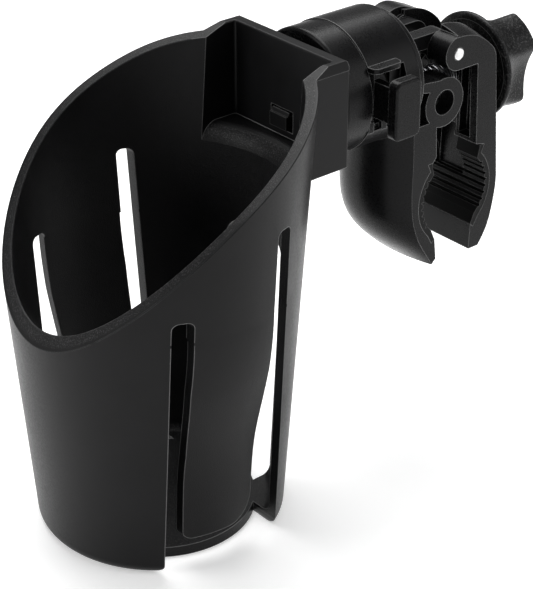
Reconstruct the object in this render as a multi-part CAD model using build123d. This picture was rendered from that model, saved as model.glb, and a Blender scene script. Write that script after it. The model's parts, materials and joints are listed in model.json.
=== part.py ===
from build123d import *
import math
import os

# Cup holder that clamps on a round bar. Millimetres.
# Origin: the centre of the gripped bar. +X runs along the bar, +Y points away from the cup, +Z is up.

# ---------------------------------------------------------------- cup
CUP_Y = -109.0          # the cup's axis
BASE_Z = -77.0          # level from which the cup's heights are measured
FOOT = -2.4             # height of the cup's underside
CUP_H = 140.0           # height of the back block's top
FOOT_R = 38.6           # outer radius at height 0
TAPER = 0.068           # growth of the radius per mm of height
FOOT_ROUND = 4.0
WALL_LOW = 3.0
WALL_TOP = 3.8
RIM_ROUND = 0.3
FLOOR_T = 3.5
FLOOR_R = 29.6          # floor's edge where the wall is cut away
RIM = [(-54, 52), (-43.4, 71.5), (-36, 82.5), (-22, 98.8), (-3.5, 114.8), (17.5, 127.2), (28, 132.6), (38, 137),
       (46, 140), (56, 143)]   # slanted rim seen from the side: distance behind the cup's axis, height

# Openings in the cup's two sides, seen along X. Y is measured from the cup's axis: "front" is the front slot's
# front edge, "root" the two edges of the tongue's root, "rear" the rear slot's rear edge at its foot and its top.
RIGHT = {"front": -22.5, "root": (-16.7, 10.3), "rear": (18.7, 16.1), "tops": (87.0, 106.8)}
LEFT = {"front": -18.2, "root": (-12.3, 15.5), "rear": (21.0, 20.5), "tops": (82.0, 101.0)}
FINGER_TOP = 80.0       # height of the finger's root
FINGER_FOOT = 6.8
FINGER_T = 2.8
FINGER_DIP = 5.0        # how far the finger leans inward at its foot
WINDOW_HALF = 14.0
WINDOW_TOP = 81.0

# block behind the rim
BLOCK_HALF = 25.8
BLOCK_BACK = 53.3
BLOCK_LOW = 107.0
BLOCK_WALL = 3.8
BLOCK_ROUND = 0.5
SHELF_H = 109.5
HATCH_HALF = 5.0        # small window for the snap hook
HATCH_LOW = 111.6
HATCH_TOP = 118.4

# ---------------------------------------------------------------- collar
COLLAR_Z = 43.8
COLLAR_R = 20.9
FRONT_R = 20.5
RING_FACE = -51.8       # front of the front ring
SEAM = -41.3            # between front ring and collar
COLLAR_BACK = -21.5
SLEEVE_R = 14.5
SLEEVE_END = -27.0
SPIGOT_R = 10.5
SPIGOT_END = -26.9
NECK_R = 14.4
FIT = 0.06              # radial clearance of a turning fit
GROOVE_R = 13.5
PLATE_FRONT = -38.0     # first latch plate's front face
PLATE_T = 2.9
PLATE_R = 17.2
PLATE_HOLE = 15.0
PLATE_SHIFT = 1.4
CUTOUT_HALF = 9.6
CUTOUT_X = 17.3
PADDLE_IN = 24.6
PADDLE_OUT = 28.0
PADDLE_Y = (-39.1, -28.5)
PADDLE_MID = 42.7       # the paddle hangs a little below the collar's axis
PADDLE_HALF = 9.5
SPRING_Y = -30.2
SCREW_RING = 17.2       # radius of the circle of frame screws

# ---------------------------------------------------------------- clamp
HALF = 16.5             # half the jaws' width
BAR_R = 14.0            # radius of the bar that the pads fit
PAD_T = 2.1
LAND = 45.0             # half angle of each pad's round land, degrees
TOOTH = 2.3             # pitch of the pad's teeth
NOTCH = 1.2             # width of the groove between two teeth
NOTCH_DEEP = 0.95
PIN = (-1.6, 48.8)      # hinge pin: Y, Z
PIN_R = 2.0
EAR_R = 5.5
HUB_R = 5.2
ARM_IN = 2.9
ARM_OUT = 7.9
EAR_IN = 8.2
EYE = (-6.8, 34.0)      # eye for the barrel nut: Y, Z
EYE_R = 8.2
EYE_HOLE = 4.1
NUT_HALF = 10.8         # half the barrel nut's length; it sits deep in the eyes
PLATE_BACK = -19.4      # rear face of the clamp frame's plate
JAW_EDGE = -19.3        # front edge of the fixed jaw's flat sides
CROWN = 9.5             # how far the fixed jaw's dome stands out at the middle
SCREW_Z = 34.0
SCREW_R = 2.95
SCREW_TIP = -14.5
SEAT_R = 23.1           # round seat that the washer rocks on
KNOB_FACE = 23.7
RIM_FACE = 20.7         # front of the skirt's rim, which reaches forward round the washer
SKIRT_R = 17.9
KNOB_BACK = 36.2
LOBE_ANGLE = 50         # direction of one lobe; the others stand 120 degrees away
VALLEY_R = 11.8         # distance from the axis to the bottom of a scoop
SCOOP_R = 21.0
SKIRT_BACK = 22.4
KNOB_ROWS = [(21.4, 17.4, 0.0), (23.4, 17.0, 0.22), (26.0, 16.3, 0.62), (29.0, 16.2, 0.92), (32.5, 16.6, 1.0),
             (KNOB_BACK, 16.9, 1.0)]    # grip sections: Y, reach of the lobes, share of the lobed plan

os.makedirs("parts", exist_ok=True)
made = {}


def keep(name, shape):
    """Write one sub-part; its solids become one STEP file."""
    made[name] = shape
    export_step(shape, f"parts/{name}.step")


# ---------------------------------------------------------------- helpers
def block(x0, x1, y0, y1, z0, z1):
    return Pos((x0 + x1) / 2, (y0 + y1) / 2, (z0 + z1) / 2) * Box(x1 - x0, y1 - y0, z1 - z0)


def rod_y(r, y0, y1, z=COLLAR_Z, x=0.0):
    """Round bar along Y."""
    return Pos(x, (y0 + y1) / 2, z) * Rot(90, 0, 0) * Cylinder(r, y1 - y0)


def rod_x(r, x0, x1, y, z):
    """Round bar along X."""
    return Pos((x0 + x1) / 2, y, z) * Rot(0, 90, 0) * Cylinder(r, x1 - x0)


def side_face(points):
    """Straight-sided face in the side view, from (Y, Z) points."""
    return make_face(Plane.YZ * Polyline(*points, close=True))


def across(face, x0, x1):
    """A side-view face, extruded along X."""
    return Pos(x0, 0, 0) * extrude(face, amount=x1 - x0, dir=(1, 0, 0))


def pair(shape):
    """The shape and its mirror image in the middle plane."""
    return shape + mirror(shape, about=Plane.YZ)


def coil(start, axis, length, radius, wire, turns):
    """Round-wire compression spring."""
    helix = Plane(start, z_dir=axis) * Helix(length / turns, length, radius)
    ring = Plane(helix @ 0, z_dir=helix % 0) * Circle(wire)
    return sweep(ring, path=helix, is_frenet=True)


def cup_radius(h):
    return FOOT_R + TAPER * h


def in_cup(shape):
    """Moves a shape drawn about the cup's own axis and base to its place."""
    return Pos(0, CUP_Y, BASE_Z) * shape


# ---------------------------------------------------------------- cup
def turned(points, rounds):
    """Solid turned about the cup's axis from (radius, height) points; rounds maps a point's index to a radius."""
    face = make_face(Polyline(*points, close=True))
    for index, radius in rounds.items():
        corner = face.vertices().sort_by_distance(Vertex(*points[index], 0))[0]
        face = fillet(corner, radius)
    return revolve(Plane.YZ * face, axis=Axis.Z)


def cup_outside():
    top = CUP_H + 8
    return turned([(0, FOOT), (cup_radius(FOOT), FOOT), (cup_radius(top), top), (0, top)], {1: FOOT_ROUND})


def cup_inside():
    top = CUP_H + 10
    low = FOOT + FLOOR_T
    low_r = cup_radius(low) - WALL_LOW
    top_r = cup_radius(top) - WALL_TOP
    return turned([(0, low), (low_r, low), (top_r, top), (0, top)], {1: FOOT_ROUND - 1})


def above_rim():
    """Everything above the slanted rim, seen from the side."""
    top = CUP_H + 30
    first, last = RIM[0], RIM[-1]
    edges = [Spline(*RIM), Polyline(last, (last[0], top), (first[0], top), first)]
    return across(Plane.YZ * make_face(edges), -70, 70)


def side_opening(side):
    """Cut-away on the +X side in which a tongue stands, with a slot up along each edge of its root."""
    front, rear_low, rear_top = side["front"], *side["rear"]
    root_front, root_back = side["root"]
    front_top, back_top = side["tops"]
    face = side_face([(front, FOOT - 1), (rear_low, FOOT - 1), (rear_top, back_top), (root_back, back_top),
                      (root_back, FINGER_TOP), (root_front, FINGER_TOP), (root_front, front_top), (front, front_top)])
    tops = [v for v in face.vertices() if v.Z > FINGER_TOP + 1]
    opening = across(fillet(tops, 2.0), 20, 60)
    for y, way in ((front, -1), (rear_low, 1)):
        corner = block(20, 60, min(y, y + 3 * way), max(y, y + 3 * way), FOOT - 1, FOOT + 3)
        opening += corner - rod_x(3.0, 15, 65, y + 3 * way, FOOT + 3)
    return opening - Pos(0, 0, FOOT) * Cylinder(FLOOR_R, 60)


def back_window():
    face = make_face(Plane.XZ * Polyline((-WINDOW_HALF, FOOT - 1), (WINDOW_HALF, FOOT - 1),
                                         (WINDOW_HALF - 1, WINDOW_TOP), (1 - WINDOW_HALF, WINDOW_TOP), close=True))
    tops = face.vertices().sort_by(Axis.Z)[-2:]
    hole = Pos(0, 20, 0) * extrude(fillet(tops, 6.0), amount=-45)
    return hole - Pos(0, 0, FOOT) * Cylinder(FLOOR_R, 60)


def block_outside():
    bevel_x, bevel_z = 1.6, 2.4
    face = make_face(Plane.XZ * Polyline((-BLOCK_HALF, BLOCK_LOW), (BLOCK_HALF, BLOCK_LOW),
                                         (BLOCK_HALF, CUP_H - bevel_z), (BLOCK_HALF - bevel_x, CUP_H),
                                         (bevel_x - BLOCK_HALF, CUP_H), (-BLOCK_HALF, CUP_H - bevel_z), close=True))
    body = Pos(0, 20, 0) * extrude(face, amount=20 - BLOCK_BACK)
    return fillet(body.edges().filter_by(Axis.Z).sort_by(Axis.Y)[-2:], 1.0)


def block_inside():
    """Channel inside the block; its shelf rounds down into the cup's wall."""
    back = BLOCK_BACK - BLOCK_WALL
    half = BLOCK_HALF - BLOCK_WALL
    inner = [(0, 98), (41.35, 98), (41.9, 103), (42.8, 106.2), (44.2, 108.2), (46.6, SHELF_H), (46.6, 112), (0, 112)]
    edges = [Polyline(inner[1], inner[0], inner[7], inner[6], inner[5]), Spline(*inner[1:6])]
    lip = revolve(Plane.XZ * make_face(edges), axis=Axis.Z) & block(-half, half, 20, back, 97, 113)
    hollow = block(-half, half, 25, back, SHELF_H, CUP_H + 5)
    hollow = fillet(hollow.edges().filter_by(Axis.Z).sort_by(Axis.Y)[-2:], 1.0)
    return hollow + lip


def hatch():
    """Small window in the block's back for the snap hook."""
    return block(-HATCH_HALF, HATCH_HALF, BLOCK_BACK - 6, BLOCK_BACK + 1, HATCH_LOW, HATCH_TOP)


def plate_pocket(gap):
    """Room for the spigot's plate in the block's back."""
    z = COLLAR_Z - BASE_Z
    return block(-14 - gap, 14 + gap, BLOCK_BACK - 1.5 - gap, BLOCK_BACK, z - 11 - gap, z + 11 + gap)


def rear_block():
    """Block behind the rim, open to the cup, with softened top edges."""
    body = block_outside() - cup_inside() - block_inside() - above_rim()
    edges = body.edges().filter_by(lambda e: min(v.Z for v in e.vertices()) > CUP_H - 0.1)
    return fillet(edges.filter_by(lambda e: e.center().Y > BLOCK_BACK - BLOCK_WALL - 2), BLOCK_ROUND)


def cup_shell():
    tub = cup_outside() - cup_inside() - above_rim()
    rims = tub.edges().filter_by(GeomType.BSPLINE).filter_by(lambda e: e.length > 200)
    body = fillet(rims, RIM_ROUND) - block_inside() + rear_block()
    body -= block(-30, 30, 40, 60, CUP_H, CUP_H + 10)
    body -= side_opening(RIGHT) + mirror(side_opening(LEFT), about=Plane.YZ)
    body -= back_window()
    body -= hatch()
    body -= plate_pocket(0.1)
    return in_cup(body)


def flex_finger(side):
    """Tongue on the +X side: it leans inward towards its rounded foot."""
    heights = (FINGER_TOP - 0.1, 70, 58, 46, 34, 20, FINGER_FOOT - 2)
    lean = (0, 0.02, 0.25, 0.62, 0.93, 1.0, 0.96)
    outer = [(cup_radius(h) - FINGER_DIP * k, h) for h, k in zip(heights, lean)]
    inner = [(r - FINGER_T, h) for r, h in outer]
    edges = [Spline(*outer), Line(outer[-1], inner[-1]), Spline(*inner), Line(inner[0], outer[0])]
    band = revolve(Plane.YZ * make_face(edges), axis=Axis.Z)
    front, back = side["root"]
    top = FINGER_TOP - 0.1
    outline = side_face([(front, top), (back, top), (back, 62), (back - 1.2, 38), (back - 1.6, FINGER_FOOT),
                         (front + 1.6, FINGER_FOOT), (front + 1.4, 38), (front, 62)])
    for radius in (9.0, 3.0):
        foot = outline.vertices().filter_by(lambda v: abs(v.Z - FINGER_FOOT) < 0.01)
        outline = fillet(foot.sort_by(Axis.Y)[-1 if radius > 5 else 0], radius)
    return in_cup(band & across(outline, 20, 60))


# ---------------------------------------------------------------- collar
def swivel_spigot():
    """Plate and snap hook in the cup's block, neck, and the spigot that turns in the front ring."""
    plate = in_cup(plate_pocket(0))
    face = CUP_Y + BLOCK_BACK
    hook_low = BASE_Z + HATCH_LOW + 0.8
    hook_top = BASE_Z + HATCH_TOP - 1.6
    hook = block(-3.8, 3.8, face - 5.4, face - 1, hook_low, hook_top)
    barb = across(side_face([(face - 5.4, hook_top - 1), (face - 4.0, hook_top + 1.2), (face - 4.0, hook_top - 1)]),
                  -3.8, 3.8)
    neck = rod_y(NECK_R, face, RING_FACE + 2.9)
    shaft = rod_y(SPIGOT_R, RING_FACE + 2.9, SPIGOT_END)
    groove = rod_y(SPIGOT_R + 1, -46.3, -43.7) - rod_y(SPIGOT_R - 1.2, -47, -43)
    pilot = rod_y(1.5, SPIGOT_END - 12, SPIGOT_END + 1)
    return plate + hook + barb + neck + (shaft - groove - pilot)


def friction_ring():
    return Pos(0, -45, COLLAR_Z) * Rot(90, 0, 0) * Torus(SPIGOT_R - 0.57, 0.6)


def spigot_washer():
    return rod_y(13.2, SPIGOT_END, SPIGOT_END + 1.2) - rod_y(1.6, SPIGOT_END - 1, SPIGOT_END + 2)


def spigot_screw():
    seat = SPIGOT_END + 1.2
    head = fillet(rod_y(3.2, seat, seat + 1.8).edges().sort_by(Axis.Y)[-1], 1.0)
    cross = block(-0.4, 0.4, seat + 0.9, seat + 3, COLLAR_Z - 1.8, COLLAR_Z + 1.8)
    cross += block(-1.8, 1.8, seat + 0.9, seat + 3, COLLAR_Z - 0.4, COLLAR_Z + 0.4)
    return rod_y(1.5, SPIGOT_END - 10, seat) + head - cross


def front_ring():
    """Front ring of the collar with the sleeve that the latch plates hold."""
    band = rod_y(FRONT_R, RING_FACE, SEAM - 0.1)
    band = fillet(band.edges().sort_by(Axis.Y)[0], 1.2)
    recess = rod_y(NECK_R + 1.6, RING_FACE - 1, RING_FACE + 3)
    sleeve = rod_y(SLEEVE_R, SEAM - 1, SLEEVE_END)
    groove = rod_y(SLEEVE_R + 1, PLATE_FRONT - 0.1, PLATE_FRONT + 2 * PLATE_T + 0.3)
    groove -= rod_y(GROOVE_R, PLATE_FRONT - 1, PLATE_FRONT + 2 * PLATE_T + 1)
    bore = rod_y(SPIGOT_R + FIT, RING_FACE - 1, SLEEVE_END + 1)
    return band + sleeve - recess - groove - bore


def screw_circle():
    """Places of the three frame screws: X, Z."""
    angles = [math.radians(a) for a in (90, 210, 330)]
    return [(SCREW_RING * math.cos(a), COLLAR_Z + SCREW_RING * math.sin(a)) for a in angles]


def plate_room():
    """Pocket in which both latch plates slide along X."""
    room = rod_y(PLATE_R + 0.3, PLATE_FRONT - 0.1, PLATE_FRONT + 2 * PLATE_T + 0.3, x=1.7)
    room += rod_y(PLATE_R + 0.3, PLATE_FRONT - 0.1, PLATE_FRONT + 2 * PLATE_T + 0.3, x=-1.7)
    return room


def side_cutout():
    """Rectangular cut-out on the +X side, open at the seam."""
    low, high = COLLAR_Z - CUTOUT_HALF, COLLAR_Z + CUTOUT_HALF
    cut = block(CUTOUT_X, 30, SEAM - 1, PADDLE_Y[1] + 1.0, low, high)
    slot = block(12, 20, PLATE_FRONT - 0.1, PLATE_FRONT + 2 * PLATE_T + 0.3, COLLAR_Z - 6.2, COLLAR_Z + 6.2)
    return cut + slot


def cutout_lip():
    """Raised lip over the cut-out, and the guide ribs at its lower edge."""
    top = COLLAR_Z + CUTOUT_HALF
    lip = block(14.5, 21.0, SEAM, PADDLE_Y[1] - 1.4, top, top + 1.7)
    lip = fillet(lip.edges().filter_by(Axis.Z).sort_by(Axis.X)[-2:], 2.0)
    low = COLLAR_Z - CUTOUT_HALF
    ribs = block(17.0, 18.6, SEAM + 0.3, SEAM + 2.4, low - 0.5, low + 3.0)
    ribs += block(17.0, 18.6, SEAM + 5.6, SEAM + 7.6, low - 0.5, low + 2.2)
    return lip + ribs


def swivel_collar():
    body = rod_y(COLLAR_R, SEAM, COLLAR_BACK)
    body = fillet(body.edges().sort_by(Axis.Y)[-1], 0.8)
    body -= pair(side_cutout())
    body += pair(cutout_lip())
    body -= rod_y(SLEEVE_R + 0.05, SEAM - 1, PLATE_FRONT + 2 * PLATE_T + 4)
    body -= plate_room()
    body -= rod_y(17.5, -29.0, COLLAR_BACK + 1)
    for x, z in screw_circle():
        body += rod_y(2.4, -30.5, COLLAR_BACK - 1.8, z=z, x=x)
        body -= rod_y(1.15, -29.5, COLLAR_BACK, z=z, x=x)
    return body


def latch(front):
    """Latch for the +X side: push paddle, stem, and the plate whose far edge sits in the sleeve's groove."""
    y0, y1 = front, front + PLATE_T
    plate = rod_y(PLATE_R, y0, y1) + block(8, PADDLE_IN, y0, y1, COLLAR_Z - 5.8, COLLAR_Z + 5.8)
    plate -= rod_y(PLATE_HOLE, y0 - 1, y1 + 1, x=PLATE_SHIFT)
    paddle = block(PADDLE_IN, PADDLE_OUT, *PADDLE_Y, PADDLE_MID - PADDLE_HALF, PADDLE_MID + PADDLE_HALF)
    paddle = fillet(paddle.edges().filter_by(Axis.X), 2.2)
    paddle = fillet(paddle.faces().sort_by(Axis.X)[-1].edges(), 0.9)
    stem = block(PADDLE_IN - 3.2, PADDLE_IN, PLATE_FRONT, PLATE_FRONT + 2 * PLATE_T, COLLAR_Z - 5.8, COLLAR_Z + 5.8)
    post = rod_x(1.0, PADDLE_IN - 1.5, PADDLE_IN, SPRING_Y, COLLAR_Z)
    return plate + paddle + stem + post


def latch_spring():
    return coil((CUTOUT_X + 0.35, SPRING_Y, COLLAR_Z), (1, 0, 0), PADDLE_IN - CUTOUT_X - 0.7, 1.45, 0.28, 6)


# ---------------------------------------------------------------- clamp
def yoke_arm():
    """Arm on the +X side: straight top bar, round hub at the pin, and a diagonal brace."""
    y, z = PIN
    top = z + HUB_R
    bar = side_face([(PLATE_BACK - 0.5, top), (y, top), (y, top - 4.8), (PLATE_BACK - 0.5, top - 4.8)])
    brace = side_face([(PLATE_BACK - 0.5, 37.5), (PLATE_BACK - 0.5, 34.6), (-3.2, 45.4), (-5.8, 47.6)])
    arm = across(bar, ARM_IN, ARM_OUT) + across(brace, ARM_IN + 0.8, ARM_OUT - 0.8)
    return arm + rod_x(HUB_R, ARM_IN, ARM_OUT, y, z) - rod_x(PIN_R, 0, 20, y, z)


def clamp_frame():
    body = rod_y(19.6, COLLAR_BACK, PLATE_BACK) + rod_y(17.3, COLLAR_BACK - 1.6, COLLAR_BACK + 0.2)
    body += pair(yoke_arm())
    for x, z in screw_circle():
        body -= rod_y(1.3, COLLAR_BACK - 3, PLATE_BACK + 1, z=z, x=x)
        body -= rod_y(2.1, PLATE_BACK - 1.1, PLATE_BACK + 9, z=z, x=x)
    return body


def frame_screws():
    group = []
    for x, z in screw_circle():
        head = rod_y(2.0, PLATE_BACK - 1.1, PLATE_BACK - 0.1, z=z, x=x)
        slot = block(x - 1.6, x + 1.6, PLATE_BACK - 0.5, PLATE_BACK + 2, z - 0.3, z + 0.3)
        group.append(head + rod_y(1.1, PLATE_BACK - 9.5, PLATE_BACK - 0.5, z=z, x=x) - slot)
    return Compound(group)


def bed_points(sign):
    """Corners of a pad's bed, top to bottom: two above and one below the round part."""
    r = BAR_R + PAD_T
    c = r * math.cos(math.radians(LAND))
    return [(sign * 12.6, 14.2), (sign * c, c), (sign * r, 0), (sign * c, -c), (sign * 9.6, -14.6)]


def bed_edges(sign):
    a, b, mid, c, d = bed_points(sign)
    return [Line(a, b), ThreePointArc(b, mid, c), Line(c, d)]


def fixed_sections():
    """The fixed jaw's cross-sections: height, edge of the flat side, how far the dome stands out."""
    return [(34.0, JAW_EDGE, CROWN), (12.0, JAW_EDGE, CROWN), (0.5, JAW_EDGE + 0.2, CROWN - 0.3),
            (-9.2, -16.8, 8.0), (-17.0, -12.6, 5.4), (-22.7, -9.0, 2.4)]


def fixed_blank():
    faces = []
    for z, edge, crown in fixed_sections():
        arc = ThreePointArc((-HALF, edge), (0, edge - crown), (HALF, edge))
        rest = [Line((HALF, edge), (HALF, 0)), Line((HALF, 0), (-HALF, 0)), Line((-HALF, 0), (-HALF, edge))]
        faces.append(Pos(0, 0, z) * make_face([arc] + rest))
    return loft(faces)


def fixed_outline():
    """Side view of the fixed jaw's inner edge, closed far out in front."""
    a, d = bed_points(-1)[0], bed_points(-1)[-1]
    lower = [Line(d, (-8.2, -13.5)), Line((-8.2, -13.5), (-7.3, -21.0)), Line((-7.3, -21.0), (-9.1, -22.7)),
             Line((-9.1, -22.7), (-40, -22.7)), Line((-40, -22.7), (-40, 28.6)), Line((-40, 28.6), (-9.9, 28.6)),
             Line((-9.9, 28.6), (-9.2, 16.0)), Line((-9.2, 16.0), (-10.6, 14.2)), Line((-10.6, 14.2), a)]
    return Plane.YZ * make_face(bed_edges(-1) + lower)


def fixed_jaw():
    body = fixed_blank() & across(fixed_outline(), -HALF, HALF)
    ear = side_face([(JAW_EDGE, 43.0), (-9.0, 41.9), (-9.0, 38.0), (JAW_EDGE, 40.2)])
    ear = across(ear, ARM_OUT + 0.3, HALF) + rod_x(EYE_R, ARM_OUT + 0.3, HALF, *EYE)
    body += pair(ear)
    body -= rod_x(EYE_HOLE, -20, 20, *EYE)
    body -= rod_y(COLLAR_R + 0.15, -50, COLLAR_BACK + 0.1)
    body -= rod_y(19.7, COLLAR_BACK - 1, PLATE_BACK + 0.1)
    body -= block(-6.3, 6.3, -16, 10, 24, 50)
    return body


def pad_face(sign):
    """Side view of a pad: round land with teeth, a straight lip above and below."""
    r = BAR_R
    c = r * math.cos(math.radians(LAND))
    low = (sign * 8.3, -13.4)
    high = (sign * 10.8, 14.2)
    front = [Line(high, (sign * c, c)), ThreePointArc((sign * c, c), (sign * r, 0), (sign * c, -c)),
             Line((sign * c, -c), low)]
    a, d = bed_points(sign)[0], bed_points(sign)[-1]
    return Plane.YZ * make_face(front + bed_edges(sign) + [Line(high, a), Line(low, d)])


def tooth_gap(sign, y, z, tilt):
    """V-shaped groove across a pad, centred at (Y, Z) on its face; tilt turns it about X."""
    vee = Polyline((-0.3, NOTCH * 0.65), (NOTCH_DEEP, 0), (-0.3, -NOTCH * 0.65), close=True)
    groove = across(make_face(Plane.YZ * vee), -HALF - 1, HALF + 1)
    return Pos(0, y, z) * Rot(tilt, 0, 0) * (groove if sign > 0 else mirror(groove, about=Plane.XZ))


def pad(sign):
    body = across(pad_face(sign), -HALF + 0.1, HALF - 0.1)
    step = math.degrees(TOOTH / BAR_R)
    count = int(LAND // step)
    for index in range(-count, count):
        angle = (index + 0.5) * step
        y = sign * BAR_R * math.cos(math.radians(angle))
        z = BAR_R * math.sin(math.radians(angle))
        body -= tooth_gap(sign, y, z, sign * angle)
    return body


def barrel_nut():
    return rod_x(EYE_HOLE - 0.05, -NUT_HALF, NUT_HALF, *EYE) - rod_y(SCREW_R + 0.05, -20, 10, z=SCREW_Z)


def hinge_pin():
    pin = rod_x(PIN_R, -HALF - 0.4, HALF + 0.4, *PIN)
    return fillet(pin.edges().filter_by(GeomType.CIRCLE), 0.35)


def jaw_back(x, grow):
    """Side view of the moving jaw's outer surface at one X; grow runs from 0 at the sides to 1 in the middle."""
    y, z = PIN
    rise = 2.6 * grow
    upper = (15.7 + 1.0 * grow, 42.7 + 0.7 * grow)
    lower = (19.2 + 0.9 * grow, 1.8)
    front = (y - 9, z + 5.4 + rise)
    end = (12.4, -22.6)
    top = Spline(front, (y, z + 5.5 + rise), (6.7, 52.7 + rise), (12.3 + 0.6 * grow, 48.9 + rise), upper,
                 tangents=[(1, 0), (0.085, -1)])
    low = Spline(lower, (18.2 + 0.8 * grow, -9.3), (15.6 + 0.5 * grow, -17.8), end, tangents=[(0.085, -1), (-0.6, -0.8)])
    rest = Polyline(end, (y - 9, -22.6), front)
    return Pos(x, 0, 0) * (Plane.YZ * make_face([top, Line(upper, lower), low, rest]))


def jaw_inner():
    """Side view of the moving jaw's inner edge, closed far out behind."""
    y, z = PIN
    a, d = bed_points(1)[0], bed_points(1)[-1]
    edges = [Line(a, (8.8, 15.2)), Line((8.8, 15.2), (7.4, z - EAR_R)), Line((7.4, z - EAR_R), (y, z - EAR_R)),
             ThreePointArc((y, z - EAR_R), (y - EAR_R, z), (y, z + EAR_R + 0.2)),
             Line((y, z + EAR_R + 0.2), (y, 70)), Line((y, 70), (40, 70)), Line((40, 70), (40, -23.0)),
             Line((40, -23.0), (8.0, -23.0)), Line((8.0, -23.0), (8.2, -13.5)), Line((8.2, -13.5), d)]
    return Plane.YZ * make_face(bed_edges(1) + edges)


def ear_lug():
    """Raised lug along the top of the left ear, with a blunt front end."""
    front, end = (-6.7, 56.4), (13.0, 49.2)
    edges = [Spline(front, (-3.1, 57.2), (4.7, 54.9), (9.6, 52.6), end),
             Polyline(end, (11.0, 47.0), (-1.6, 50.0), (-6.2, 51.9), front)]
    lug = across(Plane.YZ * make_face(edges), -HALF, -EAR_IN - 1.2)
    return lug - rod_x(PIN_R + 1, -20, 20, *PIN)


def moving_jaw():
    y, z = PIN
    body = loft([jaw_back(-HALF, 0), jaw_back(0, 1), jaw_back(HALF, 0)])
    body = body & across(jaw_inner(), -HALF, HALF)
    seat = rod_x(SEAT_R, -9.5, 9.5, y, SCREW_Z) & block(-9.5, 9.5, 14, 30, 24, 44)
    body += seat
    body += ear_lug()
    body -= block(-EAR_IN, EAR_IN, -30, 40, z - 3.3, z + 30)
    body -= block(-EAR_IN, EAR_IN, -30, 7.3, z - 8, z + 5)
    body -= rod_x(EAR_R + 0.7, -EAR_IN, EAR_IN, y, z)
    body -= block(-13.4, 13.4, -10, 13.0, 16.5, 42.5)
    body += pair(block(6.5, 7.8, 9.5, 13.5, 16.0, 43.0))
    body -= block(-6.5, 6.5, -10, 16.4, -1.0, 17.0)
    body -= rod_y(4.0, -10, 40, z=SCREW_Z)
    body -= rod_x(PIN_R + FIT, -20, 20, y, z)
    return body


def moving_pad():
    """The moving jaw's pad, with the middle channel cut out of its upper half."""
    return pad(1) - block(-6.5, 6.5, 0, 30, -1.0, 20)


def return_spring():
    return coil((0, EYE[0] + 4.7, SCREW_Z), (0, 1, 0), 14.4, 4.3, 0.5, 7)


def thrust_washer():
    back = KNOB_FACE - 0.1
    ring = rod_y(8.6, back - 2.0, back, z=SCREW_Z)
    ring = fillet(ring.edges().sort_by(Axis.Y)[0], 0.5)
    return ring - rod_y(SCREW_R + FIT, 10, 30, z=SCREW_Z)


def knob_at(y):
    """Plane across the screw's axis, facing the cup."""
    return Plane(origin=(0, y, SCREW_Z), x_dir=(1, 0, 0), z_dir=(0, -1, 0))


def lobe_radius(angle, reach):
    """Radius at an angle of the three-lobed plan: lobes of this reach with a scoop between each two."""
    off = math.radians((angle - LOBE_ANGLE) % 120 - 60)
    far = VALLEY_R + SCOOP_R
    room = SCOOP_R ** 2 - (far * math.sin(off)) ** 2
    scoop = far * math.cos(off) - math.sqrt(room) if room > 0 else 2 * reach
    return (reach ** -14 + scoop ** -14) ** (-1 / 14)


def knob_section(y, reach, share):
    """Cross-section of the grip; share runs from 0, round, to 1, fully lobed."""
    points = []
    for angle in range(0, 360, 6):
        r = (1 - share) * reach + share * lobe_radius(angle, reach)
        points.append((r * math.cos(math.radians(angle)), r * math.sin(math.radians(angle))))
    return knob_at(y) * make_face(Spline(*points, periodic=True))


def knob():
    """Skirt with a hollow front, sweeping back into a three-lobed grip."""
    grip = loft([knob_section(*row) for row in KNOB_ROWS])
    grip = fillet(grip.faces().sort_by(Axis.Y)[-1].edges(), 1.0)
    skirt = rod_y(SKIRT_R, RIM_FACE, SKIRT_BACK, z=SCREW_Z)
    skirt = fillet(skirt.edges().sort_by(Axis.Y)[0], 0.9)
    skirt = fillet(skirt.edges().sort_by(Axis.Y)[-1], 0.4)
    body = skirt + grip
    body -= rod_y(SKIRT_R - 2.4, RIM_FACE - 1, KNOB_FACE, z=SCREW_Z)
    body -= rod_y(SCREW_R + 0.05, 20, 30, z=SCREW_Z)
    body -= extrude(knob_at(29) * RegularPolygon(5.05, 6, False), amount=-4.2)
    body -= rod_y(6.2, 33.1, 40, z=SCREW_Z)
    return body


def knob_cap():
    cap = rod_y(6.15, 33.2, KNOB_BACK + 0.4, z=SCREW_Z)
    return fillet(cap.edges().sort_by(Axis.Y)[-1], 0.6)


def clamp_screw():
    hexagon = knob_at(29) * RegularPolygon(5.0, 6, False)
    shank = rod_y(SCREW_R, SCREW_TIP, 29.5, z=SCREW_Z)
    shank = chamfer(shank.edges().sort_by(Axis.Y)[0], 0.7)
    return shank + extrude(hexagon, amount=-4.1)


# ---------------------------------------------------------------- sub-parts
keep("cup_shell", cup_shell())
keep("flex_finger_right", flex_finger(RIGHT))
keep("flex_finger_left", mirror(flex_finger(LEFT), about=Plane.YZ))
keep("swivel_spigot", swivel_spigot())
keep("friction_ring", friction_ring())
keep("spigot_washer", spigot_washer())
keep("spigot_screw", spigot_screw())

keep("front_ring", front_ring())
keep("swivel_collar", swivel_collar())
keep("latch_right", latch(PLATE_FRONT))
keep("latch_left", mirror(latch(PLATE_FRONT + PLATE_T + 0.1), about=Plane.YZ))
spring = latch_spring()
keep("latch_spring_right", spring)
keep("latch_spring_left", mirror(spring, about=Plane.YZ))

keep("clamp_frame", clamp_frame())
keep("frame_screws", frame_screws())
keep("fixed_jaw", fixed_jaw())
keep("fixed_jaw_pad", pad(-1))
keep("barrel_nut", barrel_nut())
keep("hinge_pin", hinge_pin())
keep("moving_jaw", moving_jaw())
keep("moving_jaw_pad", moving_pad())
keep("return_spring", return_spring())

keep("thrust_washer", thrust_washer())
keep("knob", knob())
keep("knob_cap", knob_cap())
keep("clamp_screw", clamp_screw())
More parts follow.
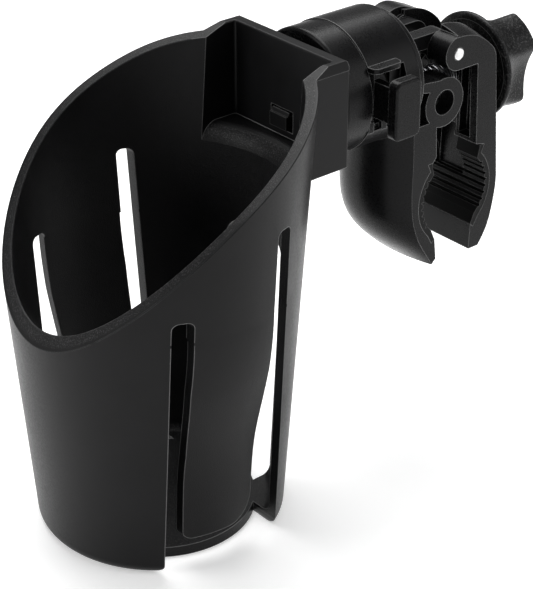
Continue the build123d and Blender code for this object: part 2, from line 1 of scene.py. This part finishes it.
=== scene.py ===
import json
import math

import bmesh
import bpy
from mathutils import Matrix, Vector


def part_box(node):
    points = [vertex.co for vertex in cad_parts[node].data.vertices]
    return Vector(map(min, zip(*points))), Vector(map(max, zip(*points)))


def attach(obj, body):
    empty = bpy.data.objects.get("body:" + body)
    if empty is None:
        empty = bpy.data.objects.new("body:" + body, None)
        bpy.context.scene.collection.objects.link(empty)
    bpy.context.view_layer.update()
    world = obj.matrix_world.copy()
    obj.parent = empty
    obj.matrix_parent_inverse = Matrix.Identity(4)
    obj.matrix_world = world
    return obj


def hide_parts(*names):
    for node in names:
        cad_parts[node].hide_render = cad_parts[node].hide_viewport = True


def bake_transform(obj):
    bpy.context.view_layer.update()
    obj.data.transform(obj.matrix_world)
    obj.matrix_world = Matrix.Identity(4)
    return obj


# A cup holder on a swivel collar with a screw clamp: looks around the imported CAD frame.
# Lengths are in metres and colours are linear.

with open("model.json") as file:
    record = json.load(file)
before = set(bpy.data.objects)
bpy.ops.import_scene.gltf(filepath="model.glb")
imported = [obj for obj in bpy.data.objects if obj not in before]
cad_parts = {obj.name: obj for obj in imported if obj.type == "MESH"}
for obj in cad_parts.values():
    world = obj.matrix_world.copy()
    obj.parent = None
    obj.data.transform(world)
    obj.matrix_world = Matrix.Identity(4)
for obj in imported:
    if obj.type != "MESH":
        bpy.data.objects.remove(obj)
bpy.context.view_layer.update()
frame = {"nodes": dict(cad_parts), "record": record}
NODES = frame["nodes"]
RECORD = frame["record"]
SCENE = bpy.context.scene
MM = 0.001

# ---------------------------------------------------------------- places
MOUNTS = {mount["name"]: mount for mount in RECORD["mounts"]}
JOINTS = {joint["name"]: joint for joint in RECORD["behaviour"]["joints"]}
CUP_AXIS_Y = MOUNTS["cup_foot"]["pos_m"][1]
SCREW_Z = JOINTS["knob_turn"]["pos_m"][2]
FLOOR_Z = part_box("cup_shell")[0].z
CUP_BASE_Z = -0.077     # level from which the cup's heights are measured
CUP_R = 0.0386          # the wall's outer radius at that level
CUP_TAPER = 0.068       # what that radius gains per metre of height
SCREW_R = 0.00295       # the clamp screw's radius over its thread

# ---------------------------------------------------------------- colours and edges
BLACK = (0.0042, 0.0042, 0.0045)
RUBBER_BLACK = (0.004, 0.004, 0.004)
PAINTED_HIGHLIGHT_GREY = (0.17, 0.17, 0.17)   # painted highlights: lighter edge lines and the grain's glints
# painted highlight: the pale line along the rubber's edges
RUBBER_PAINTED_HIGHLIGHT = (0.12, 0.12, 0.12)
EDGE_COSINES = (0.998, 0.94)        # between softened and real normal, where an edge line starts and is full
EDGE_SAMPLES = 8
ROOT_BAND = (0.00043, 0.00055)      # distances from a tongue's root at which edge lines start and are full
SKIN = (-0.0011, -0.0005)           # heights over the cup's outer surface at which its inside ends
UPWARD = (0.2, 0.4)                 # the normal's Z at which a face starts to count as upward, and fully does


# ---------------------------------------------------------------- material helpers
def new_material(name):
    material = bpy.data.materials.new(name)
    material.use_nodes = True
    tree = material.node_tree
    return material, tree, tree.nodes["Principled BSDF"]


def add(tree, kind, **inputs):
    """New node with plain values in its sockets; an underscore stands for a space in a socket's name."""
    node = tree.nodes.new(kind)
    for key, value in inputs.items():
        node.inputs[key.replace("_", " ")].default_value = value
    return node


def maths(tree, operation, *values):
    """Math node fed with numbers or sockets."""
    node = tree.nodes.new("ShaderNodeMath")
    node.operation = operation
    for place, value in zip(node.inputs, values):
        if isinstance(value, (int, float)):
            place.default_value = value
        else:
            tree.links.new(value, place)
    return node.outputs[0]


def object_coords(tree):
    return tree.nodes.new("ShaderNodeTexCoord").outputs["Object"]


def face_normal(tree):
    return tree.nodes.new("ShaderNodeNewGeometry").outputs["Normal"]


def split(tree, vector):
    """X, Y and Z of a vector."""
    parts = tree.nodes.new("ShaderNodeSeparateXYZ")
    tree.links.new(vector, parts.inputs["Vector"])
    return parts.outputs["X"], parts.outputs["Y"], parts.outputs["Z"]


def noise(tree, coords, scale, detail=4.0, roughness=0.55):
    node = add(tree, "ShaderNodeTexNoise", Scale=scale, Detail=detail, Roughness=roughness)
    tree.links.new(coords, node.inputs["Vector"])
    return node.outputs["Fac"]


def ramp(tree, value, low, high, colour_low, colour_high):
    """Colour that runs from colour_low, where the value is low, to colour_high."""
    node = tree.nodes.new("ShaderNodeValToRGB")
    tree.links.new(value, node.inputs["Fac"])
    first, last = node.color_ramp.elements
    first.position, last.position = low, high
    first.color, last.color = (*colour_low, 1.0), (*colour_high, 1.0)
    return node.outputs["Color"]


def span(tree, value, low, high, to_low, to_high):
    """Number that runs from to_low, where the value is low, to to_high, and stops there."""
    node = add(tree, "ShaderNodeMapRange", From_Min=low, From_Max=high, To_Min=to_low, To_Max=to_high)
    tree.links.new(value, node.inputs["Value"])
    return node.outputs["Result"]


def tongue_root(tree, coords):
    """0 at the level where each tongue grows out of the wall, 1 elsewhere."""
    x, _, z = split(tree, coords)
    right, left = (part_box(f"flex_finger_{side}")[1].z for side in ("right", "left"))
    on_right = maths(tree, "GREATER_THAN", x, 0.0)
    level = maths(tree, "ADD", maths(tree, "MULTIPLY", on_right, right - left), left)
    distance = maths(tree, "ABSOLUTE", maths(tree, "SUBTRACT", z, level))
    return span(tree, distance, *ROOT_BAND, 0.0, 1.0)


def inside_cup(tree, coords):
    """1 on the cup's inner surfaces and its rim, 0 on its outside."""
    x, y, z = split(tree, coords)
    across = maths(tree, "ADD", y, -CUP_AXIS_Y)
    square = maths(tree, "ADD", maths(tree, "POWER", x, 2.0), maths(tree, "POWER", across, 2.0))
    height = maths(tree, "ADD", z, -CUP_BASE_Z)
    outer = maths(tree, "ADD", maths(tree, "MULTIPLY", height, CUP_TAPER), CUP_R)
    depth = maths(tree, "SUBTRACT", maths(tree, "SQRT", square), outer)
    return span(tree, depth, *SKIN, 1.0, 0.0)


def facing_up(tree):
    """1 on faces that look up in the object's own frame, such as the rim, a shelf or a floor."""
    _, _, z = split(tree, tree.nodes.new("ShaderNodeTexCoord").outputs["Normal"])
    return span(tree, z, *UPWARD, 0.0, 1.0)


def softened_normal(tree, radius, share=None):
    """Normal rounded over sharp edges; share, from 0 to 1, turns the rounding off where it is 0."""
    bevel = add(tree, "ShaderNodeBevel", Radius=radius)
    bevel.samples = EDGE_SAMPLES
    if share is None:
        return bevel.outputs["Normal"]
    mix = tree.nodes.new("ShaderNodeMix")
    mix.data_type = "VECTOR"
    # Sockets by number: the ones for vectors, colours and numbers share their names.
    factor, plain, rounded = mix.inputs[0], mix.inputs[4], mix.inputs[5]
    tree.links.new(share, factor)
    tree.links.new(face_normal(tree), plain)
    tree.links.new(bevel.outputs["Normal"], rounded)
    return mix.outputs[1]


def edge_mask(tree, softened):
    """0 on flat faces, up to 1 along sharp edges: how far the softened normal leans from the face's own."""
    dot = tree.nodes.new("ShaderNodeVectorMath")
    dot.operation = "DOT_PRODUCT"
    tree.links.new(softened, dot.inputs[0])
    tree.links.new(face_normal(tree), dot.inputs[1])
    return span(tree, dot.outputs["Value"], *EDGE_COSINES, 0.0, 1.0)


def paint_highlights(tree, colour, painted_highlight, highlight_colour):
    """The colour, giving way to a lighter highlight colour where the mask is 1: a painted highlight."""
    mix = tree.nodes.new("ShaderNodeMix")
    mix.data_type = "RGBA"
    factor, body, edge = mix.inputs[0], mix.inputs[6], mix.inputs[7]        # by number, as above
    tree.links.new(painted_highlight, factor)
    tree.links.new(colour, body)
    edge.default_value = (*highlight_colour, 1.0)
    return mix.outputs[2]


def plastic(name, rough=0.34, grain=0.25, grain_size=0.00035, deep=0.00006, uneven=0.1, shine=0.15,
            painted_glints=0.0, painted_edges=1.0, cup=False):
    """Moulded plastic: fine spark-eroded grain, uneven gloss, faint cloudiness, softened edges, painted
    highlights.

    grain and deep are the bump's strength and height; the glint share and the edge share are how far the
    grain's
    tops and the edges turn grey, as painted glints and painted highlight lines. cup is for the cup's own
    plastic:
    no rounding at the tongues' roots, painted glints only on its inner, upward faces, and a stronger grain
    inside.
    """
    edge_radius, inner_grain = 0.0004, 0.9
    tint, shade = ([c * share for c in BLACK] for share in (1.5, 0.7))
    material, tree, shader = new_material(name)
    coords = object_coords(tree)
    fine = noise(tree, coords, 1.0 / grain_size, detail=2.0)
    patchy = noise(tree, coords, 0.6 / grain_size, detail=1.0)
    cloud = noise(tree, coords, 38.0, detail=5.0, roughness=0.6)
    softened = softened_normal(tree, edge_radius, tongue_root(tree, coords) if cup else None)
    # painted glints: grey on the grain's tops
    glints = span(tree, fine, 0.52, 0.72, 0.0, painted_glints)
    bump = add(tree, "ShaderNodeBump", Strength=grain, Distance=deep)
    if cup:
        inner = inside_cup(tree, coords)
        # the cup's painted glints stay on its inner, upward faces, where light from above falls
        glints = maths(tree, "MULTIPLY", glints, maths(tree, "MULTIPLY", inner, facing_up(tree)))
        strength = maths(tree, "ADD", maths(tree, "MULTIPLY", inner, inner_grain), grain)
        tree.links.new(strength, bump.inputs["Strength"])

    # painted highlights: edge lines and glints, lightened towards the highlight grey
    painted_highlight = maths(tree, "MAXIMUM", maths(tree, "MULTIPLY", edge_mask(tree, softened), painted_edges), glints)
    body = ramp(tree, cloud, 0.3, 0.72, shade, tint)
    tree.links.new(paint_highlights(tree, body, painted_highlight, PAINTED_HIGHLIGHT_GREY), shader.inputs["Base Color"])

    gloss = maths(tree, "ADD", span(tree, cloud, 0.25, 0.75, rough - uneven / 2, rough + uneven / 2),
                  span(tree, patchy, 0.35, 0.65, -0.03, 0.05))
    tree.links.new(gloss, shader.inputs["Roughness"])
    shader.inputs["Specular IOR Level"].default_value = shine

    tree.links.new(fine, bump.inputs["Height"])
    tree.links.new(softened, bump.inputs["Normal"])
    tree.links.new(bump.outputs["Normal"], shader.inputs["Normal"])
    return material


def steel(name, colour=(0.56, 0.56, 0.57), rough=0.28, grain=0.2):
    """Plated steel with fine turning marks and dull patches."""
    material, tree, shader = new_material(name)
    coords = object_coords(tree)
    patches = noise(tree, coords, 260.0, detail=6.0)
    marks = add(tree, "ShaderNodeTexWave", Scale=900.0, Distortion=3.0, Detail=2.0)
    tree.links.new(coords, marks.inputs["Vector"])
    dull = [c * 0.6 for c in colour]
    tree.links.new(ramp(tree, patches, 0.3, 0.75, dull, colour), shader.inputs["Base Color"])
    tree.links.new(span(tree, patches, 0.2, 0.8, rough - 0.08, rough + 0.16), shader.inputs["Roughness"])
    shader.inputs["Metallic"].default_value = 1.0
    bump = add(tree, "ShaderNodeBump", Strength=grain, Distance=0.00003)
    tree.links.new(marks.outputs["Fac"], bump.inputs["Height"])
    tree.links.new(bump.outputs["Normal"], shader.inputs["Normal"])
    return material


def rubber(name):
    """Matt rubber with dust in its pores and a painted highlight: a pale line along its edges."""
    edge_radius = 0.00025
    material, tree, shader = new_material(name)
    coords = object_coords(tree)
    pores = noise(tree, coords, 1900.0, detail=3.0)
    cloud = noise(tree, coords, 90.0, detail=5.0)
    softened = softened_normal(tree, edge_radius)
    dusty = [c * 1.9 for c in RUBBER_BLACK]
    body = ramp(tree, cloud, 0.35, 0.7, RUBBER_BLACK, dusty)
    # painted highlight: a pale line along the edges
    edges = paint_highlights(tree, body, edge_mask(tree, softened), RUBBER_PAINTED_HIGHLIGHT)
    tree.links.new(edges, shader.inputs["Base Color"])
    tree.links.new(span(tree, cloud, 0.2, 0.8, 0.42, 0.6), shader.inputs["Roughness"])
    shader.inputs["Specular IOR Level"].default_value = 0.1
    bump = add(tree, "ShaderNodeBump", Strength=0.3, Distance=0.00006)
    tree.links.new(pores, bump.inputs["Height"])
    tree.links.new(softened, bump.inputs["Normal"])
    tree.links.new(bump.outputs["Normal"], shader.inputs["Normal"])
    return material


# ---------------------------------------------------------------- materials
# The plastics carry painted glints on the grain and painted highlight lines on the edges, each to its own
# share.
MATERIALS = {
    "black_plastic": plastic("cup_plastic", rough=0.36, grain=0.05, grain_size=0.00036, deep=0.0001,
                             painted_glints=0.28, cup=True),
    "neck_plastic": plastic("neck_plastic", rough=0.4, grain=0.2, shine=0.1, painted_edges=0.25),
    "collar_plastic": plastic("collar_plastic", rough=0.3, grain=0.2, shine=0.13),
    "latch_plastic": plastic("latch_plastic", rough=0.27, grain=0.3, grain_size=0.0005,
                             shine=0.12, painted_glints=0.06),
    "frame_plastic": plastic("frame_plastic", rough=0.3, grain=0.25),
    "clamp_plastic": plastic("clamp_plastic", rough=0.28, grain=0.06, shine=0.12),
    "knob_plastic": plastic("knob_plastic", rough=0.33, grain=0.9, grain_size=0.0006, deep=0.00015,
                            shine=0.18, painted_glints=0.3),
    "rubber": rubber("pad_rubber"),
    "steel": steel("plated_steel"),
    "bright_steel": steel("bright_steel", colour=(0.85, 0.85, 0.85), rough=0.22, grain=0.08),
    "spring_steel": steel("spring_wire", colour=(0.22, 0.22, 0.23), rough=0.2),
}
SLOT_OF = {row["node"]: row["material_slot"] for row in RECORD["subparts"]}

for node_name, slot_name in SLOT_OF.items():
    node = NODES[node_name]
    node.data.materials.clear()
    node.data.materials.append(MATERIALS[slot_name])


# ---------------------------------------------------------------- mesh pieces
def new_piece(name, build, cad_node, sharp_from=35):
    """Mesh piece made with bmesh, shown in place of the CAD node and wearing its material.

    Edges that turn by more than sharp_from, in degrees, stay sharp.
    """
    work = bmesh.new()
    build(work)
    bmesh.ops.recalc_face_normals(work, faces=work.faces)
    mesh = bpy.data.meshes.new(name)
    work.to_mesh(mesh)
    work.free()
    mesh.materials.append(MATERIALS[SLOT_OF[cad_node]])
    mesh.shade_smooth()
    mesh.set_sharp_from_angle(angle=math.radians(sharp_from))
    piece = bpy.data.objects.new(name, mesh)
    SCENE.collection.objects.link(piece)
    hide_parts(cad_node)
    return piece


def angles_round(count):
    return [2 * math.pi * k / count for k in range(count)]


def tube(work, rings):
    """Skin over a row of rings of points, closed at both ends."""
    loops = [[work.verts.new(point) for point in ring] for ring in rings]
    count = len(loops[0])
    for before, after in zip(loops, loops[1:]):
        for k in range(count):
            work.faces.new((before[k], before[(k + 1) % count], after[(k + 1) % count], after[k]))
    work.faces.new(loops[0])
    work.faces.new(loops[-1])


def spring(start, along, length, radius, wire, turns):
    """Compression spring with closed end coils.

    start is the centre of the wire where the first coil begins, and along a unit axis.
    """
    steps_per_turn, wire_sides = 28, 12
    along = Vector(along)
    side = Vector((0, 0, 1)).cross(along)
    up = along.cross(side)
    end_turn = 1.0 / turns                  # an end coil's share of the turns
    end_rise = 2.1 * wire / length          # and of the length: its wire just clears itself

    def rise(t):
        """Share of the length that the wire has climbed after a share t of its turns."""
        if t < end_turn:
            return end_rise * t / end_turn
        if t > 1 - end_turn:
            return 1 - end_rise * (1 - t) / end_turn
        return end_rise + (1 - 2 * end_rise) * (t - end_turn) / (1 - 2 * end_turn)

    def build(work):
        steps = int(turns * steps_per_turn)
        rings = []
        for k in range(steps + 1):
            t = k / steps
            angle = 2 * math.pi * turns * t
            out = side * math.cos(angle) + up * math.sin(angle)
            centre = Vector(start) + along * (length * rise(t)) + out * radius
            rings.append([centre + (out * math.cos(a) + along * math.sin(a)) * wire
                          for a in angles_round(wire_sides)])
        tube(work, rings)

    return build


def on_screw(y, radius, angle):
    """Point at a radius and an angle round the clamp screw's axis."""
    return Vector((radius * math.cos(angle), y, SCREW_Z + radius * math.sin(angle)))


def threaded_screw(work):
    """Clamp screw: chamfered tip, cut thread, plain neck, and a hexagonal head inside the knob."""
    tip, neck, head = -0.0145, 0.0215, 0.029            # along the screw's axis
    pitch, deep, runout = 0.001, 0.00052, 0.0012        # the thread, which fades out before the neck
    chamfer, chamfer_deep = 0.0009, 0.0007              # the tip's
    crest, flank = 1.35, 2.9                            # shape of the ridge, cut off at 0 and 1
    head_r, head_thick, bevel = 0.005, 0.0041, 0.0004   # the head, measured over its flats
    round_steps, rows_per_pitch = 40, 8

    rows = int((neck - tip) / pitch * rows_per_pitch)
    rings = []
    for k in range(rows + 1):
        y = tip + (neck - tip) * k / rows
        near_tip = min(1.0, (y - tip) / chamfer)
        near_neck = min(1.0, (neck - y) / runout)
        ring = []
        for j, angle in enumerate(angles_round(round_steps)):
            phase = (y / pitch - j / round_steps) % 1.0
            ridge = min(1.0, max(0.0, crest - flank * abs(phase - 0.5)))
            r = SCREW_R - deep * (1 - ridge) * near_neck - chamfer_deep * (1 - near_tip)
            ring.append(on_screw(y, r, angle))
        rings.append(ring)
    for y in (head - bevel, head):
        rings.append([on_screw(y, SCREW_R, angle) for angle in angles_round(round_steps)])
    tube(work, rings)

    sections = ((head, head_r - bevel), (head + bevel, head_r),
                (head + head_thick - bevel, head_r), (head + head_thick, head_r - bevel))
    tube(work, [[on_screw(y, r / math.cos(math.radians(30)), angle) for angle in angles_round(6)]
                for y, r in sections])


def tongue(node_name):
    """The tongue's CAD mesh with rows added across it, and its root brought against the wall."""
    rows, first_row, row_step = 24, 0.0012, 0.0026      # down from the root
    root_gap = 0.00009
    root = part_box(node_name)[1].z

    def build(work):
        source = NODES[node_name].data
        points = [work.verts.new(vert.co) for vert in source.vertices]
        for face in source.polygons:
            work.faces.new([points[k] for k in face.vertices])
        bmesh.ops.remove_doubles(work, verts=work.verts, dist=1e-6)
        for k in range(rows):
            height = root - first_row - row_step * k
            bmesh.ops.bisect_plane(work, geom=work.verts[:] + work.edges[:] + work.faces[:],
                                   plane_co=(0, 0, height), plane_no=(0, 0, 1))
        for vert in work.verts:
            if vert.co.z > root - 1e-5:
                vert.co.z += root_gap

    return build


SPRING_SHARP = 60                                       # degrees
COIL_R, WIRE, COILS = 4.3 * MM, 0.5 * MM, 7.5           # the return spring
JAW_CLEARANCE = 0.95 * MM       # stops its last coil short, clear of the jaw's face while the jaw swings
LATCH_COIL_R, LATCH_WIRE, LATCH_COILS = 1.45 * MM, 0.28 * MM, 6.5

screw = new_piece("threaded_clamp_screw", threaded_screw, "clamp_screw")
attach(screw, "knob")

coil_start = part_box("return_spring")[0].y + WIRE
coil_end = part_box("return_spring")[1].y - JAW_CLEARANCE
main_spring = new_piece("coiled_return_spring",
                        spring((0, coil_start, SCREW_Z), (0, 1, 0), coil_end - coil_start,
                               COIL_R, WIRE, COILS),
                        "return_spring", SPRING_SHARP)
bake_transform(main_spring)

for side, name in ((1, "right"), (-1, "left")):
    low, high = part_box(f"latch_spring_{name}")
    inner = (low.x if side > 0 else high.x) + side * LATCH_WIRE
    outer = (high.x if side > 0 else low.x) - side * LATCH_WIRE
    y, z = (low.y + high.y) / 2, (low.z + high.z) / 2
    latch_spring = new_piece(f"coiled_latch_spring_{name}",
                             spring((inner, y, z), (side, 0, 0), abs(outer - inner),
                                    LATCH_COIL_R, LATCH_WIRE, LATCH_COILS),
                             f"latch_spring_{name}", SPRING_SHARP)
    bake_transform(latch_spring)

    finger = new_piece(f"tongue_{name}", tongue(f"flex_finger_{name}"), f"flex_finger_{name}")
    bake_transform(finger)


# ---------------------------------------------------------------- stage
CAMERA_AT = Vector((0.3802, -0.3857, 0.2576))
CAMERA_AZIMUTH = math.radians(49.90)    # round Z, from straight in front of the cup
CAMERA_HEIGHT = math.radians(29.23)     # above the horizon
LENS = 110.7                            # mm
AIM = (0.0, -0.06, 0.0)                 # what the lights point at
LIGHTS = (                              # name, place, width, height, power in watts
    ("overhead", (-0.3, 0.1, 0.8), 0.8, 0.8, 11.0),
    ("left_front", (-0.35, -0.85, 0.35), 0.35, 0.8, 2.8),
    ("right_back", (0.75, 0.45, 0.45), 0.5, 0.7, 2.2),
)
WHITE = (1.0, 1.0, 1.0, 1.0)
BACKDROP_LIGHT = 0.25                   # how bright the backdrop is as a light
BACKDROP_SEEN = 0.85                    # what it gains where the camera sees it
FLOOR_HALF = 4.0                        # half the floor's side


def make_floor():
    """Pale paper that glows a little, so that it meets the white backdrop."""
    material, tree, shader = new_material("paper_floor")
    fibre = noise(tree, object_coords(tree), 400.0)
    tree.links.new(ramp(tree, fibre, 0.3, 0.7, (0.86, 0.86, 0.86), (0.9, 0.9, 0.9)),
                   shader.inputs["Base Color"])
    shader.inputs["Roughness"].default_value = 0.65
    shader.inputs["Specular IOR Level"].default_value = 0.1
    shader.inputs["Emission Color"].default_value = WHITE
    shader.inputs["Emission Strength"].default_value = 0.4
    mesh = bpy.data.meshes.new("floor")
    corners = [(x * FLOOR_HALF, y * FLOOR_HALF, FLOOR_Z) for x, y in ((-1, -1), (1, -1), (1, 1), (-1, 1))]
    mesh.from_pydata(corners, [], [(0, 1, 2, 3)])
    mesh.materials.append(material)
    floor = bpy.data.objects.new("floor", mesh)
    SCENE.collection.objects.link(floor)


def make_world():
    """White backdrop; as a light it is dimmer, so that the black plastic keeps its depth."""
    world = bpy.data.worlds.new("studio")
    world.use_nodes = True
    SCENE.world = world
    tree = world.node_tree
    backdrop = tree.nodes["Background"]
    backdrop.inputs["Color"].default_value = WHITE
    seen = tree.nodes.new("ShaderNodeLightPath").outputs["Is Camera Ray"]
    strength = maths(tree, "ADD", maths(tree, "MULTIPLY", seen, BACKDROP_SEEN), BACKDROP_LIGHT)
    tree.links.new(strength, backdrop.inputs["Strength"])


def soft_light(name, place, width, height, power):
    data = bpy.data.lights.new(name, "AREA")
    data.shape = "RECTANGLE"
    data.size, data.size_y = width, height
    data.energy = power
    lamp = bpy.data.objects.new(name, data)
    lamp.location = place
    lamp.rotation_euler = (Vector(AIM) - Vector(place)).to_track_quat("-Z", "Y").to_euler()
    SCENE.collection.objects.link(lamp)


def make_camera():
    back = Vector((math.sin(CAMERA_AZIMUTH) * math.cos(CAMERA_HEIGHT),
                   -math.cos(CAMERA_AZIMUTH) * math.cos(CAMERA_HEIGHT), math.sin(CAMERA_HEIGHT)))
    data = bpy.data.cameras.new("camera")
    data.lens = LENS
    data.clip_start, data.clip_end = 0.01, 20.0
    camera = bpy.data.objects.new("camera", data)
    camera.location = CAMERA_AT
    camera.rotation_euler = back.to_track_quat("Z", "Y").to_euler()
    SCENE.collection.objects.link(camera)
    SCENE.camera = camera


make_floor()
make_world()
for light in LIGHTS:
    soft_light(*light)
make_camera()
SCENE.view_settings.view_transform = "Standard"
